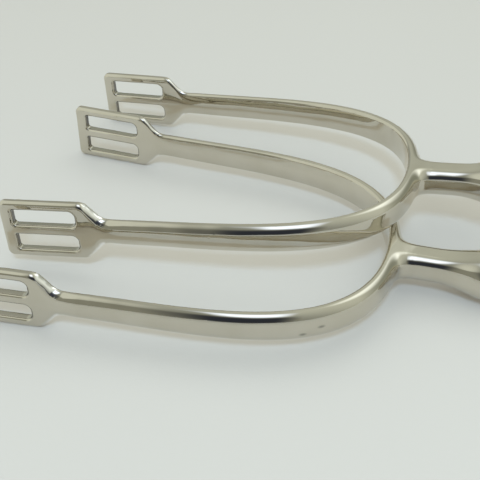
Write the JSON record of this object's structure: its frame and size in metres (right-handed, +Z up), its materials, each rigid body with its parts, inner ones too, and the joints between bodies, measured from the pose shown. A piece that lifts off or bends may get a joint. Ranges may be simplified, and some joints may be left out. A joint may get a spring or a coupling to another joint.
{
  "type": "pair of riding spurs",
  "caption": "Pair of polished steel riding spurs with slotted strap keepers and round-ended necks, one leaning on the other.",
  "frame": {"origin": "on the surface the pair lies on, under the middle of the pair's box", "axes": "+X backwards along the necks, the keepers towards -X; +Y across the spurs, from the lower spur towards the upper one; +Z up"},
  "size_m": [0.1406, 0.108, 0.0241],
  "materials": {
    "polished_steel": "mirror-polished stainless steel with faint polishing marks"
  },
  "bodies": {
    "lower_spur": {"lower_spur": "polished_steel"},
    "upper_spur": {"upper_spur": "polished_steel"}
  },
  "joints": [
    {"name": "upper_spur_lift", "type": "slide", "parent": "lower_spur", "child": "upper_spur", "axis": [0, 0, 1], "range_m": [0, 0.05]}
  ]
}
